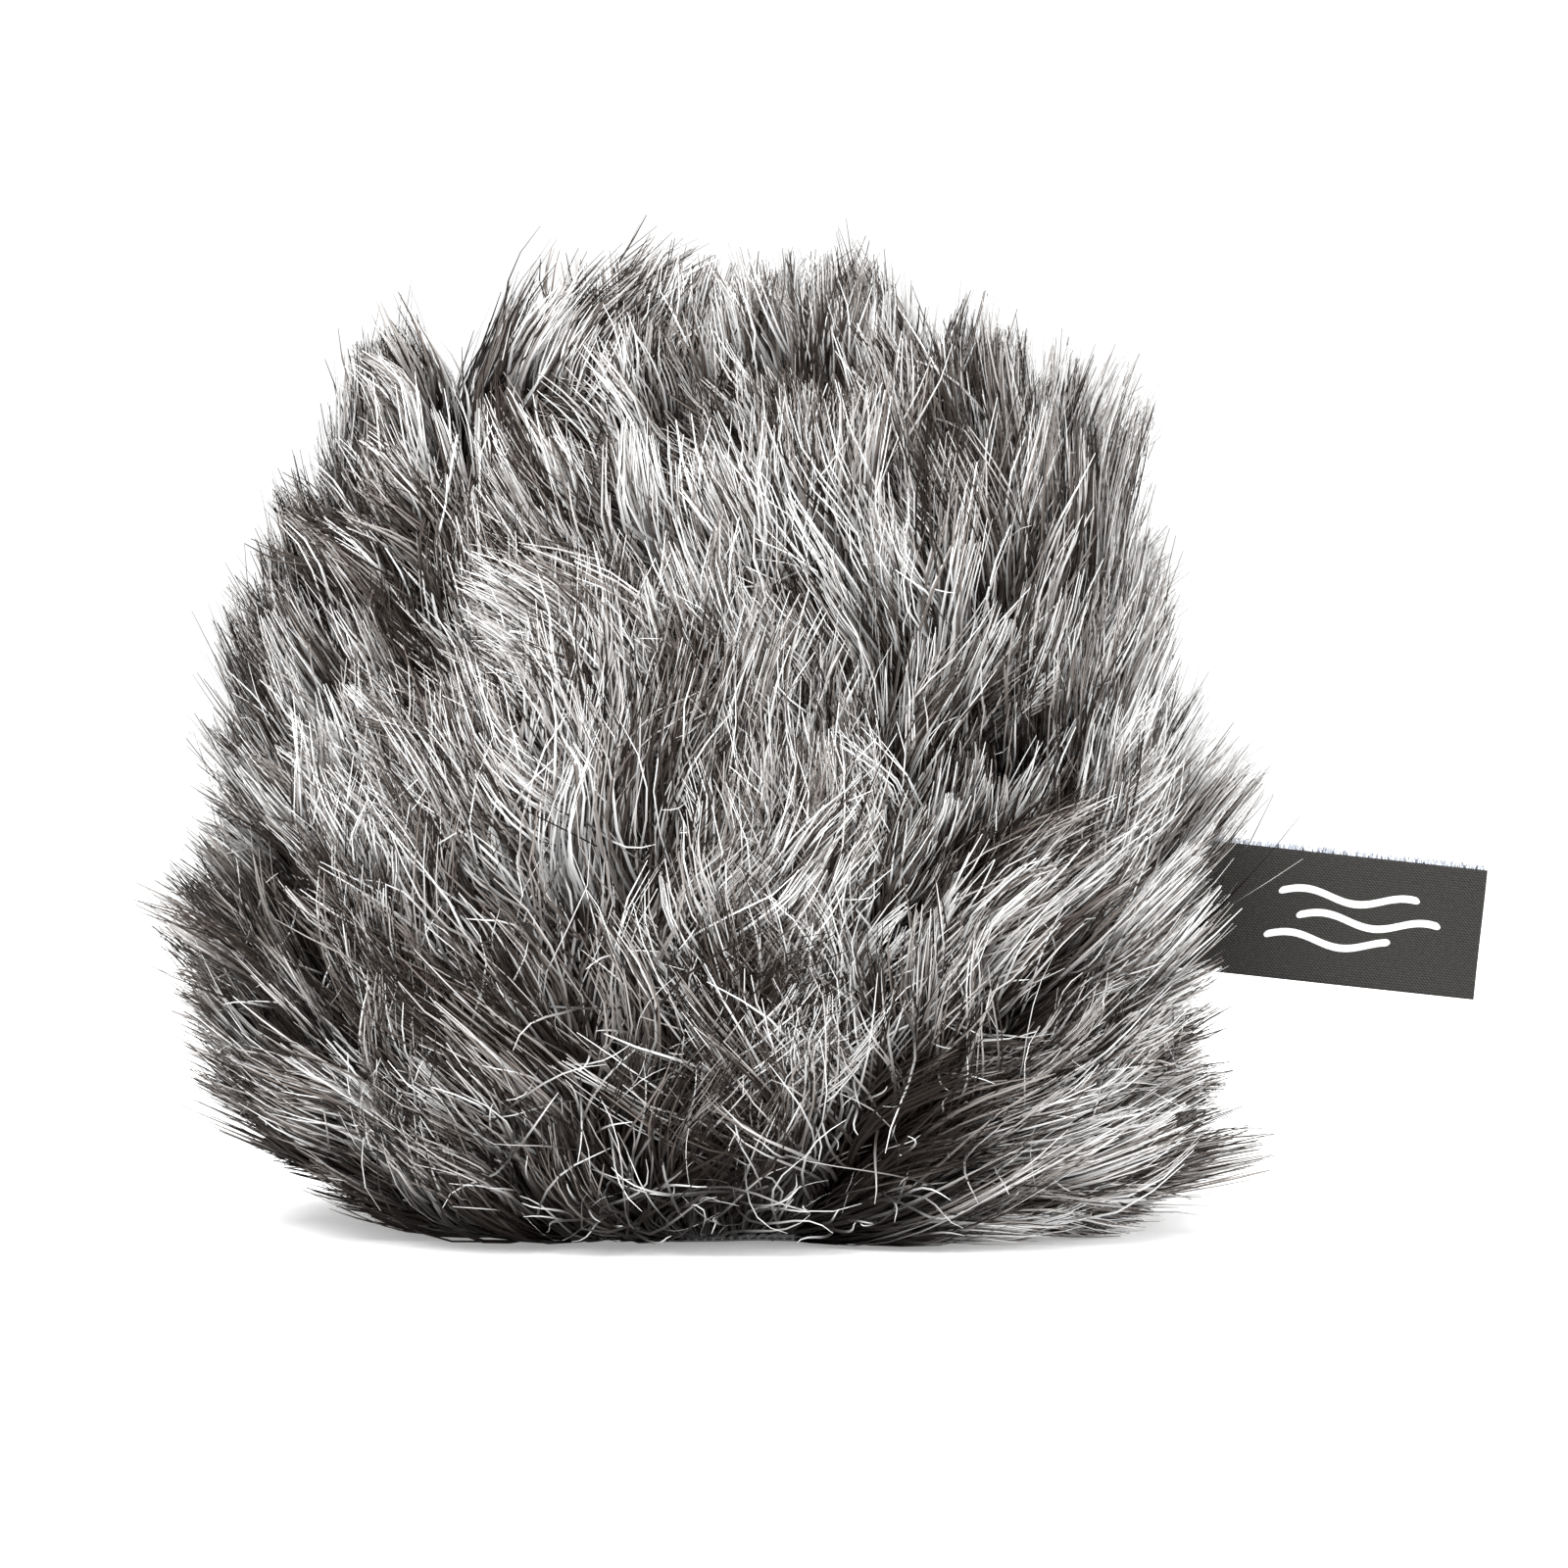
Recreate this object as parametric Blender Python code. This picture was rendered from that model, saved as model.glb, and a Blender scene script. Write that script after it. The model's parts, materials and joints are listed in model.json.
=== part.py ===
"""Furry windscreen: a sewn long-pile hood with a foam liner that slips over a recorder's microphones.

Metres, +Z up. The hood stands on its open mouth: the origin is the centre of the mouth on the plane it
rests on, the long way of the oval mouth is X, and the loop label leaves the seam on the +X side.
"""

import math

import bmesh
import bpy
from mathutils import Matrix, Vector

MM = 0.001

# Outer envelope of the pile.
HALF_WIDTH = 56.0 * MM
HALF_DEPTH = 48.0 * MM
HEIGHT = 110.0 * MM
PLAN_POWER = 2.5
DOME_POWER = 3.4
OVAL_DIFFERENCE = HALF_WIDTH - HALF_DEPTH

# Layers, as depths in from the envelope. The gaps between them hold the seam threads.
FUR_LAYER = (0.0 * MM, 16.0 * MM)
FUR_THREAD_DEPTH = 16.6 * MM
FOAM_LAYER = (17.2 * MM, 22.7 * MM)
LINING_THREAD_DEPTH = 23.3 * MM
LINING_LAYER = (23.9 * MM, 24.9 * MM)

# Seams.
SEAM_LEVEL = 0.85
SEAM_LEVEL_GAP = 0.009
SIDE_SEAM_HALF_GAP = 0.8 * MM
THREAD_RADIUS = 0.25 * MM
THREAD_STOP = 0.03

# Gathered hem: the elastic pulls the lower edge in.
HEM_TUCK = 7.0 * MM
TUCK_HEIGHT = 14.0 * MM
LINER_BASE = 9.6 * MM
CASING_OUTER = 32.5 * MM
CASING_INNER = 27.5 * MM
CASING_CLOTH = 1.0 * MM
CASING_BASE = 0.5 * MM
CASING_TOP = 9.0 * MM
ELASTIC_THICK = 1.6 * MM
ELASTIC_BASE = 2.2 * MM
ELASTIC_TOP = 7.2 * MM
HEM_THREAD_HEIGHT = 8.3 * MM

# Folded loop label in the right side seam.
LABEL_TILT = math.radians(6.2)
LABEL_HINGE = Vector((57.6 * MM, 0.0, 36.4 * MM))
LABEL_LENGTH = 33.1 * MM
LABEL_START = 0.7 * MM
LABEL_WIDTH = 15.0 * MM
LABEL_PLY = 0.4 * MM
LABEL_THICK = 1.2 * MM
LABEL_TAIL_LENGTH = 15.6 * MM
LABEL_TAIL_THICK = 0.5 * MM
LABEL_TAIL_GAP = 0.4 * MM

WALL_SEGMENTS = (20, 14)
CROWN_SEGMENTS = (12, 12)
RING_STEPS = 48
SHARP_EDGE = math.radians(40.0)


def clear_scene():
    for obj in list(bpy.data.objects):
        bpy.data.objects.remove(obj, do_unlink=True)


def material(name, colour, roughness):
    """A plain cloth, foam or thread material."""
    made = bpy.data.materials.new(name)
    made.use_nodes = True
    shader = made.node_tree.nodes["Principled BSDF"]
    shader.inputs["Base Color"].default_value = (*colour, 1.0)
    shader.inputs["Roughness"].default_value = roughness
    shader.inputs["Metallic"].default_value = 0.0
    return made


def level_share(level):
    """Share of the full plan that is left at a level from 0 at the base to 1 at the apex."""
    return (1.0 - level ** DOME_POWER) ** (1.0 / DOME_POWER)


def share_level(share):
    return (1.0 - share ** DOME_POWER) ** (1.0 / DOME_POWER)


def oval(turn, half_width, half_depth):
    """Point of the rounded oval outline at an angle from +X."""
    across = math.cos(turn)
    along = math.sin(turn)
    power = 2.0 / PLAN_POWER
    x = math.copysign(abs(across) ** power, across) * half_width
    y = math.copysign(abs(along) ** power, along) * half_depth
    return x, y


def hem_tuck(z):
    """How far the gathered hem pulls a wall in at a height."""
    return HEM_TUCK * max(0.0, 1.0 - z / TUCK_HEIGHT) ** 2


def dome_point(turn, level, depth):
    """Point of the dome that lies a depth inside the envelope."""
    z = level * (HEIGHT - depth)
    share = level_share(level)
    tuck = hem_tuck(z)
    x, y = oval(turn, (HALF_WIDTH - depth) * share - tuck, (HALF_DEPTH - depth) * share - tuck)
    return Vector((x, y, z))


def seam_turn():
    """Half the angle that the side seam takes up."""
    return (SIDE_SEAM_HALF_GAP / HALF_DEPTH) ** (PLAN_POWER / 2.0)


def wall_turns(start):
    """Angles of a wall panel's columns, from the side seam at start to the opposite one."""
    first = start + seam_turn()
    last = start + math.pi - seam_turn()
    columns = WALL_SEGMENTS[0]
    return [first + (last - first) * i / columns for i in range(columns + 1)]


def wall_point(u, v, start, base, depth):
    """Point of a half-round wall, with u and v from -1 to 1 across and up."""
    turn = start + seam_turn() + (math.pi - 2.0 * seam_turn()) * (u + 1.0) / 2.0
    low = base / (HEIGHT - depth)
    level = low + (SEAM_LEVEL - low) * (v + 1.0) / 2.0
    return dome_point(turn, level, depth)


def crown_point(u, v, depth):
    """Point of the cap, with the square u, v from -1 to 1 laid over the oval."""
    reach = max(abs(u), abs(v))
    if reach < 1e-6:
        turn = 0.0
    elif abs(u) >= abs(v):
        turn = math.pi / 4.0 * v / u + (math.pi if u < 0.0 else 0.0)
    else:
        turn = math.pi / 2.0 - math.pi / 4.0 * u / v + (math.pi if v < 0.0 else 0.0)
    share = reach * level_share(SEAM_LEVEL + SEAM_LEVEL_GAP)
    return dome_point(turn, share_level(share), depth)


def finish_mesh(name, bm, surface, parts):
    """Closes off a bmesh as a named object, smooth with sharp rims."""
    bmesh.ops.recalc_face_normals(bm, faces=bm.faces[:])
    for face in bm.faces:
        face.smooth = True
    for edge in bm.edges:
        edge.smooth = edge.calc_face_angle(0.0) < SHARP_EDGE
    mesh = bpy.data.meshes.new(name)
    bm.to_mesh(mesh)
    bm.free()
    mesh.materials.append(surface)
    obj = bpy.data.objects.new(name, mesh)
    parts.objects.link(obj)
    return obj


def shell_panel(name, segments, outer, inner, surface, parts):
    """A panel of even thickness: a grid laid on the outer surface and extruded to the inner one."""
    bm = bmesh.new()
    bmesh.ops.create_grid(bm, x_segments=segments[0], y_segments=segments[1], size=1.0)
    sheet = bm.verts[:]
    made = bmesh.ops.extrude_face_region(bm, geom=bm.faces[:], use_keep_orig=True)
    backing = [item for item in made["geom"] if isinstance(item, bmesh.types.BMVert)]
    for vert in sheet:
        vert.co = outer(vert.co.x, vert.co.y)
    for vert in backing:
        vert.co = inner(vert.co.x, vert.co.y)
    return finish_mesh(name, bm, surface, parts)


def wall_panel(name, start, base, layer, surface, parts):
    """The front or the back wall of one layer."""

    def outer(u, v):
        return wall_point(u, v, start, base, layer[0])

    def inner(u, v):
        return wall_point(u, v, start, base, layer[1])

    return shell_panel(name, WALL_SEGMENTS, outer, inner, surface, parts)


def crown_panel(name, layer, surface, parts):
    """The cap of one layer."""

    def outer(u, v):
        return crown_point(u, v, layer[0])

    def inner(u, v):
        return crown_point(u, v, layer[1])

    return shell_panel(name, CROWN_SEGMENTS, outer, inner, surface, parts)


def layer_panels(prefix, base, layer, surface, parts):
    wall_panel(prefix + "_front_panel", math.pi, base, layer, surface, parts)
    wall_panel(prefix + "_back_panel", 0.0, base, layer, surface, parts)
    crown_panel(prefix + "_crown_panel", layer, surface, parts)


def oval_ring(name, section, surface, parts):
    """A closed section of (half width, height) points spun round the mouth, then drawn to the oval."""
    bm = bmesh.new()
    verts = [bm.verts.new((radius, 0.0, z)) for radius, z in section]
    edges = [bm.edges.new((verts[i - 1], verts[i])) for i in range(len(verts))]
    bmesh.ops.spin(
        bm,
        geom=verts + edges,
        cent=(0.0, 0.0, 0.0),
        axis=(0.0, 0.0, 1.0),
        angle=2.0 * math.pi,
        steps=RING_STEPS,
        use_merge=True,
    )
    for vert in bm.verts:
        radius = math.hypot(vert.co.x, vert.co.y)
        turn = math.atan2(vert.co.y, vert.co.x)
        x, y = oval(turn, radius, radius - OVAL_DIFFERENCE)
        vert.co = Vector((x, y, vert.co.z))
    return finish_mesh(name, bm, surface, parts)


def hem_casing(surface, parts):
    """Binding folded up on both sides of the elastic, open along its stitched top edge."""
    floor = CASING_BASE + CASING_CLOTH
    section = [
        (CASING_OUTER, CASING_BASE),
        (CASING_OUTER, CASING_TOP),
        (CASING_OUTER - CASING_CLOTH, CASING_TOP),
        (CASING_OUTER - CASING_CLOTH, floor),
        (CASING_INNER + CASING_CLOTH, floor),
        (CASING_INNER + CASING_CLOTH, CASING_TOP),
        (CASING_INNER, CASING_TOP),
        (CASING_INNER, CASING_BASE),
    ]
    return oval_ring("hem_casing", section, surface, parts)


def mouth_elastic(surface, parts):
    """Flat elastic inside the casing."""
    middle = (CASING_OUTER + CASING_INNER) / 2.0
    low = middle - ELASTIC_THICK / 2.0
    high = middle + ELASTIC_THICK / 2.0
    section = [
        (low, ELASTIC_BASE),
        (high, ELASTIC_BASE),
        (high, ELASTIC_TOP),
        (low, ELASTIC_TOP),
    ]
    return oval_ring("mouth_elastic", section, surface, parts)


def thread(name, points, cyclic, surface, parts):
    """A line of stitching thread through the given points."""
    curve = bpy.data.curves.new(name, "CURVE")
    curve.dimensions = "3D"
    curve.bevel_depth = THREAD_RADIUS
    curve.bevel_resolution = 1
    curve.use_fill_caps = not cyclic
    line = curve.splines.new("POLY")
    line.points.add(len(points) - 1)
    for spot, point in zip(line.points, points):
        spot.co = (*point, 1.0)
    line.use_cyclic_u = cyclic
    curve.materials.append(surface)
    obj = bpy.data.objects.new(name, curve)
    parts.objects.link(obj)
    return obj


def side_seam_thread(name, turn, base, depth, surface, parts):
    """Stitching of one side seam, from above the hem to just under the crown seam."""
    rows = WALL_SEGMENTS[1]
    low = base / (HEIGHT - depth)
    high = SEAM_LEVEL - THREAD_STOP
    points = [dome_point(turn, low + (high - low) * i / rows, depth) for i in range(rows + 1)]
    return thread(name, points, False, surface, parts)


def crown_seam_thread(name, depth, surface, parts):
    """Stitching that joins the crown to both walls."""
    turns = wall_turns(0.0) + wall_turns(math.pi)
    level = SEAM_LEVEL + SEAM_LEVEL_GAP / 2.0
    points = [dome_point(turn, level, depth) for turn in turns]
    return thread(name, points, True, surface, parts)


def hem_thread(surface, parts):
    """Stitching that closes the casing above the elastic."""
    radius = (CASING_OUTER + CASING_INNER) / 2.0
    points = []
    for step in range(RING_STEPS):
        x, y = oval(2.0 * math.pi * step / RING_STEPS, radius, radius - OVAL_DIFFERENCE)
        points.append(Vector((x, y, HEM_THREAD_HEIGHT)))
    return thread("hem_seam_thread", points, True, surface, parts)


def label_frame():
    """Hinge line of the label: X runs out along the label, Z across its width."""
    return Matrix.Translation(LABEL_HINGE) @ Matrix.Rotation(LABEL_TILT, 4, "Y")


def flat_strip(name, outline, width, surface, parts):
    """A flat outline in X and Y given a width along Z, centred on z = 0 of the label's own frame."""
    curve = bpy.data.curves.new(name, "CURVE")
    curve.dimensions = "2D"
    curve.fill_mode = "BOTH"
    curve.extrude = width / 2.0
    edge = curve.splines.new("POLY")
    edge.points.add(len(outline) - 1)
    for spot, (x, y) in zip(edge.points, outline):
        spot.co = (x, y, 0.0, 1.0)
    edge.use_cyclic_u = True
    curve.materials.append(surface)
    obj = bpy.data.objects.new(name, curve)
    obj.matrix_world = label_frame()
    parts.objects.link(obj)
    return obj


def label_loop(surface, parts):
    """The free part of the woven label: two plies joined by the fold at the far end."""
    half = LABEL_THICK / 2.0
    gap = half - LABEL_PLY
    outline = [
        (LABEL_START, -half),
        (LABEL_LENGTH - gap, -half),
        (LABEL_LENGTH, -gap),
        (LABEL_LENGTH, gap),
        (LABEL_LENGTH - gap, half),
        (LABEL_START, half),
        (LABEL_START, gap),
        (LABEL_LENGTH - LABEL_PLY, gap),
        (LABEL_LENGTH - LABEL_PLY, -gap),
        (LABEL_START, -gap),
    ]
    return flat_strip("label_loop", outline, LABEL_WIDTH, surface, parts)


def label_tail(surface, parts):
    """The label's two ends, held between the pile of the front and back panels."""
    half = LABEL_TAIL_THICK / 2.0
    near = -LABEL_TAIL_GAP
    far = near - LABEL_TAIL_LENGTH
    outline = [(far, -half), (near, -half), (near, half), (far, half)]
    return flat_strip("label_tail", outline, LABEL_WIDTH, surface, parts)


def main():
    clear_scene()
    parts = bpy.data.collections.new("furry_windscreen")
    bpy.context.scene.collection.children.link(parts)

    fur = material("silver_grey_fur", (0.22, 0.215, 0.21), 0.9)
    foam = material("charcoal_foam", (0.035, 0.035, 0.037), 0.95)
    lining = material("black_mesh_lining", (0.02, 0.02, 0.022), 0.85)
    casing = material("black_binding", (0.018, 0.018, 0.02), 0.8)
    elastic = material("black_elastic", (0.03, 0.03, 0.032), 0.7)
    woven = material("charcoal_woven_label", (0.05, 0.049, 0.046), 0.75)
    black_thread = material("black_thread", (0.015, 0.015, 0.016), 0.6)

    layer_panels("fur", 0.0, FUR_LAYER, fur, parts)
    layer_panels("foam", LINER_BASE, FOAM_LAYER, foam, parts)
    layer_panels("lining", LINER_BASE, LINING_LAYER, lining, parts)

    hem_casing(casing, parts)
    mouth_elastic(elastic, parts)
    hem_thread(black_thread, parts)

    thread_base = LINER_BASE + 2.0 * MM
    side_seam_thread("fur_seam_thread_right", 0.0, thread_base, FUR_THREAD_DEPTH, black_thread, parts)
    side_seam_thread("fur_seam_thread_left", math.pi, thread_base, FUR_THREAD_DEPTH, black_thread, parts)
    crown_seam_thread("fur_seam_thread_crown", FUR_THREAD_DEPTH, black_thread, parts)
    side_seam_thread("lining_seam_thread_right", 0.0, thread_base, LINING_THREAD_DEPTH, black_thread, parts)
    side_seam_thread("lining_seam_thread_left", math.pi, thread_base, LINING_THREAD_DEPTH, black_thread, parts)
    crown_seam_thread("lining_seam_thread_crown", LINING_THREAD_DEPTH, black_thread, parts)

    label_tail(woven, parts)
    label_loop(woven, parts)


main()
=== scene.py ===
"""Looks of the furry windscreen: long pile, knitted backing, foam, mesh lining, gathered hem and label.

Metres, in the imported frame: +Z up, the hood stands on its mouth at z = 0, the label is on the +X side.
"Across" and "up" are millimetres on a wall seen from outside. The back is the front turned half round.
"""

import json
import math
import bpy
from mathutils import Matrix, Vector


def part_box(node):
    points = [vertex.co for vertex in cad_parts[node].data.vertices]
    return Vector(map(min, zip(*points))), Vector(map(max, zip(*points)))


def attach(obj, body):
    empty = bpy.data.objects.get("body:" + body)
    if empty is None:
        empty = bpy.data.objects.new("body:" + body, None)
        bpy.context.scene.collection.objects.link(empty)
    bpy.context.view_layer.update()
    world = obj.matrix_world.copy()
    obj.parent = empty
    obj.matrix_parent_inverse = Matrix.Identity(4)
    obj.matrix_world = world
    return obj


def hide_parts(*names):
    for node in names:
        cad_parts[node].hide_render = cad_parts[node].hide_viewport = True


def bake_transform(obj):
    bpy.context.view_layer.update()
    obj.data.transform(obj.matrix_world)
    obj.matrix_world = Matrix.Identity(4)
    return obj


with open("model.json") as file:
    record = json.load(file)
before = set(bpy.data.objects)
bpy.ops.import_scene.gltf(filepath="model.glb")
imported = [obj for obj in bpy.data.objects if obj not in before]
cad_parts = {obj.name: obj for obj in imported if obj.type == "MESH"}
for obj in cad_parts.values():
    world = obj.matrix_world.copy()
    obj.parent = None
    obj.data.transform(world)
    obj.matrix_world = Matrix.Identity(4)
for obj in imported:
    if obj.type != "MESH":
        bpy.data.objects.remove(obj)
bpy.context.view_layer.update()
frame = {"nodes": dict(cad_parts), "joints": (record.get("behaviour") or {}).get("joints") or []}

from types import SimpleNamespace

import bmesh
import bpy
import numpy as np
from mathutils import Vector, kdtree

MM = 0.001

# The dome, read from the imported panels.
FUR_LOW, FUR_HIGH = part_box("fur_front_panel")
HALF_WIDTH = FUR_HIGH.x
HALF_DEPTH = -FUR_LOW.y
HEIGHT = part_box("fur_crown_panel")[1].z
SEAM_HEIGHT = FUR_HIGH.z
PLAN_POWER = 2.5
DOME_POWER = 3.4
# How far the gathered hem pulls the wall in, and below which height.
HEM_TUCK = 7.0 * MM
TUCK_HEIGHT = 14.0 * MM
# How deep the pile is rooted.
PILE = 16.0 * MM
SIDE_SEAM_HALF_GAP = 0.8 * MM
SEAM_CLIMB = math.asin((SEAM_HEIGHT / HEIGHT) ** (DOME_POWER / 2.0))

# The layers under the pile, as depths in from the envelope.
BACKING_DEPTH = 15.7 * MM
BACKING_THICK = 0.5 * MM
BACKING_BASE = 0.6 * MM
FOAM_OUTER = 17.4 * MM
FOAM_INNER = 22.5 * MM
LINING_DEPTH = 24.4 * MM
LINING_THICK = 0.5 * MM
LINER_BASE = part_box("foam_front_panel")[0].z

# The gathered hem. Its stitching is at a share of its height.
CASING_LOW, CASING_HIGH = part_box("hem_casing")
CASING_HALF = 2.5 * MM
CASING_THICK = 0.45 * MM
CASING_INSET = 0.75 * MM
HEM_BASE = CASING_LOW.z + 0.4 * MM
HEM_HEIGHT = CASING_HIGH.z - CASING_LOW.z - 0.8 * MM
HEM_PLEATS = 58
STITCH_LEVEL = 0.86
STITCH_COUNT = 74
GATHER = 1.25

# The label, along its own length from the hinge.
LABEL_JOINT = frame["joints"][0]
LABEL_WIDTH = 15.0 * MM
LABEL_PLY = 0.24 * MM
LABEL_END = 33.1 * MM
LABEL_TAIL = -16.0 * MM
# Middle rows of the motif: first and last place along the label, and level up its width.
MOTIF_LINES = (
    (9.2 * MM, 25.5 * MM, 2.6 * MM),
    (11.5 * MM, 28.2 * MM, 0.0 * MM),
    (8.0 * MM, 22.6 * MM, -2.6 * MM),
)
MOTIF_HALF_WIDTH = 0.42 * MM
PICKS = 420

# The pile: strands gather into wisps and wisps into locks. Each has a path of so many steps.
STRANDS = 140000
LOCKS = 2600
WISPS = 42000
STRAYS = 1100
LOW_STRAYS = 900
SKIRT_STRAYS = 420
STEPS = 8
STRAND_LENGTH = 26.0 * MM
STRAND_WIDTH = 0.44 * MM
STRAY_WIDTH = STRAND_WIDTH * 0.72
STRAY_DEPTH = PILE * 0.45
STRANDS_PER_PIECE = 12000
FLOOR_CLEARANCE = 0.35 * MM
ALONG_HAIR = np.linspace(0.0, 1.0, STEPS + 1)
# How much of a strand shows beyond its neighbours.
VISIBLE_RUN = 12.0 * MM
# How unlike their surroundings the tips of locks, hairs and strays point.
LOCK_DISORDER = 0.15
HAIR_DISORDER = 0.11
STRAY_DISORDER = 0.62
# Locks in a hollow are shorter, as a share of the envelope, and darkened with painted shade.
HOLLOW_DEPTH = 0.075
HOLLOW_PAINTED_SHADE = 0.46
# Wisps trimmed below this share of their length are undercoat.
STUB = 0.36

# What the tips of the pile reach: wider than the panels, rounder on the left.
TIP_LEFT = HALF_WIDTH + 2.8 * MM
TIP_RIGHT = HALF_WIDTH + 2.4 * MM
TIP_DEPTH = HALF_DEPTH + 1.0 * MM
TIP_HEIGHT = HEIGHT - 1.4 * MM
LEFT_POWER = 2.75
RIGHT_POWER = 4.0
# How far the tips draw in at the floor, below which height, and the power of the curve.
LEFT_DRAW = (29.0 * MM, 20.0 * MM, 2)
RIGHT_DRAW = (8.5 * MM, 8.0 * MM, 1.2)
WALL_DRAW = (12.0 * MM, 15.0 * MM, 2)
# How far the crown dips at its parting and steps down on the right.
NOTCH = 11.0 * MM
STEP_DOWN = 4.0 * MM

# Where the pile parts, so that its dark roots show, with painted shade on the hairs around: across and
# up, radius in mm, strength.
PARTINGS = (
    (-2.0, 17.0, 8.0, 1.3),
    (26.0, 17.0, 8.0, 1.5),
    (-15.0, 11.0, 6.5, 1.0),
    (-34.0, 73.0, 8.0, 0.6),
    (-24.0, 40.0, 5.0, 0.5),
    (-45.0, 35.0, 6.0, 0.5),
    (-4.0, 44.0, 6.0, 0.7),
    (3.0, 36.0, 4.0, 0.5),
    (32.0, 46.0, 7.0, 0.5),
    (43.0, 36.0, 5.5, 0.6),
)
# How far a parting pushes the tips beside it sideways and up or down, and how much painted shade it lays
# on the hairs there.
PARTING_PUSH = 1.45
PARTING_LIFT = 0.5
PARTING_PAINTED_SHADE = 0.42
# Where light tips gather instead.
LIGHT_TUFTS = (
    (44.0, 17.0, 8.0, 0.34),
    (11.0, 39.0, 4.0, 0.30),
    (6.0, 74.0, 16.0, 0.08),
    (27.0, 31.0, 6.0, 0.12),
)
# Where the hairs rooted there lean sideways: across and its spread, up and its spread, and how much.
LEANS = (
    (-26.0, 25.0, 62.0, 28.0, -0.36),
    (-29.0, 8.0, 77.0, 12.0, -0.62),
    (-43.0, 8.0, 66.0, 9.0, 0.60),
    (-43.0, 14.0, 29.0, 18.0, 0.58),
    (-2.0, 14.0, 15.0, 12.0, 0.62),
    (-8.0, 14.0, 50.0, 10.0, -0.48),
    (2.0, 18.0, 66.0, 18.0, -0.32),
    (34.0, 20.0, 69.0, 22.0, -0.72),
    (37.0, 15.0, 34.0, 19.0, -0.50),
)
# How far below the mouth, in mm, lies the point that each wall's pile fans out from.
FAN_DEPTH = 8.0
# The x in mm of the parting that runs over the crown from front to back.
CROWN_PARTING = -25.0
# How high in mm the crown seam draws the pile in, and where its valley shows among the tips, dark from
# the roots there and from painted shade.
SEAM_LEVEL = 81.0
VALLEY_LEVEL = 92.0
# Where locks stand out of the outline: their tips' x and z in mm, and how far out as a share.
SPIKES = (
    (47.5, 91.0, 0.13),
    (58.5, 46.0, 0.20),
    (58.5, 9.0, 0.12),
    (-58.5, 34.0, 0.08),
    (-33.0, 98.5, 0.055),
    (-28.0, 101.0, 0.05),
    (24.0, 108.0, 0.03),
)
SPIKE_RADIUS = 4.5

# The camera looks down at its aim by its tilt, in degrees.
CAMERA_AIM = Vector((9.95 * MM, 0.0, 50.3 * MM))
CAMERA_DISTANCE = 0.503
CAMERA_TILT = 0.5


# ---- the dome's surface


def signed_power(value, power):
    return np.copysign(np.abs(value) ** power, value)


def plan_oval(turn):
    """The plan's shape for half sizes of 1, as x and y."""
    power = 2.0 / PLAN_POWER
    return signed_power(np.cos(turn), power), signed_power(np.sin(turn), power)


def drawn_in(z, amount, height, power=2):
    """How far a wall is drawn in at z: by the amount at the floor, and not at all above the height."""
    return amount * np.clip(1.0 - z / height, 0.0, 1.0) ** power


def dome_points(turn, climb, depth):
    """Points a depth inside the envelope. Climb runs from 0 at the base to a quarter turn at the apex."""
    level = np.sin(climb) ** (2.0 / DOME_POWER)
    share = np.clip(np.cos(climb), 0.0, 1.0) ** (2.0 / DOME_POWER)
    z = level * (HEIGHT - depth)
    tuck = drawn_in(z, HEM_TUCK, TUCK_HEIGHT)
    x, y = plan_oval(turn)
    x = x * ((HALF_WIDTH - depth) * share - tuck)
    y = y * ((HALF_DEPTH - depth) * share - tuck)
    return np.stack(np.broadcast_arrays(x, y, z), axis=-1)


def dome_normals(points, depth):
    """Outward normals at points that lie a depth inside the envelope."""
    size = np.array([HALF_WIDTH, HALF_DEPTH, HEIGHT]) - depth
    ratio = np.abs(points) / size
    plan = np.maximum(ratio[:, 0] ** PLAN_POWER + ratio[:, 1] ** PLAN_POWER, 1e-6)
    rise = plan ** (DOME_POWER / PLAN_POWER - 1.0)
    across = rise * signed_power(points[:, 0] / size[0], PLAN_POWER - 1.0) / size[0]
    along = rise * signed_power(points[:, 1] / size[1], PLAN_POWER - 1.0) / size[1]
    up = ratio[:, 2] ** (DOME_POWER - 1.0) / size[2]
    normals = unit(np.stack([across, along, up], axis=-1))
    slope = drawn_in(points[:, 2], 2.0 * HEM_TUCK / TUCK_HEIGHT, TUCK_HEIGHT, 1)
    normals[:, 2] -= slope * np.hypot(normals[:, 0], normals[:, 1])
    return unit(normals)


def unit(vectors):
    return vectors / np.maximum(np.linalg.norm(vectors, axis=-1, keepdims=True), 1e-9)


def smooth(value, low, high):
    """0 below low, 1 above high, and a smooth step between them."""
    t = np.clip((value - low) / (high - low), 0.0, 1.0)
    return t * t * (3.0 - 2.0 * t)


def bump(value, centre, width):
    return np.exp(-(((value - centre) / width) ** 2))


class Waves:
    """A smooth random field of vectors, each part about -1 to 1, summed from sine waves."""

    PARTS = 3
    COUNT = 14

    def __init__(self, seed, wavelength):
        rng = np.random.default_rng(seed)
        total = self.COUNT * self.PARTS
        heading = unit(rng.normal(size=(total, 3)))
        spacing = wavelength * rng.uniform(0.6, 1.7, total)
        self.rate = heading * (math.tau / spacing)[:, None]
        self.phase = rng.uniform(0.0, math.tau, total)

    def __call__(self, points):
        waves = np.sin(points @ self.rate.T + self.phase)
        return waves.reshape(len(points), self.PARTS, self.COUNT).sum(axis=2) / math.sqrt(self.COUNT)


def arc_lengths(points):
    """Running length along an array of points."""
    steps = np.linalg.norm(np.diff(points, axis=0), axis=-1)
    return np.concatenate([[0.0], np.cumsum(steps)])


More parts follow.
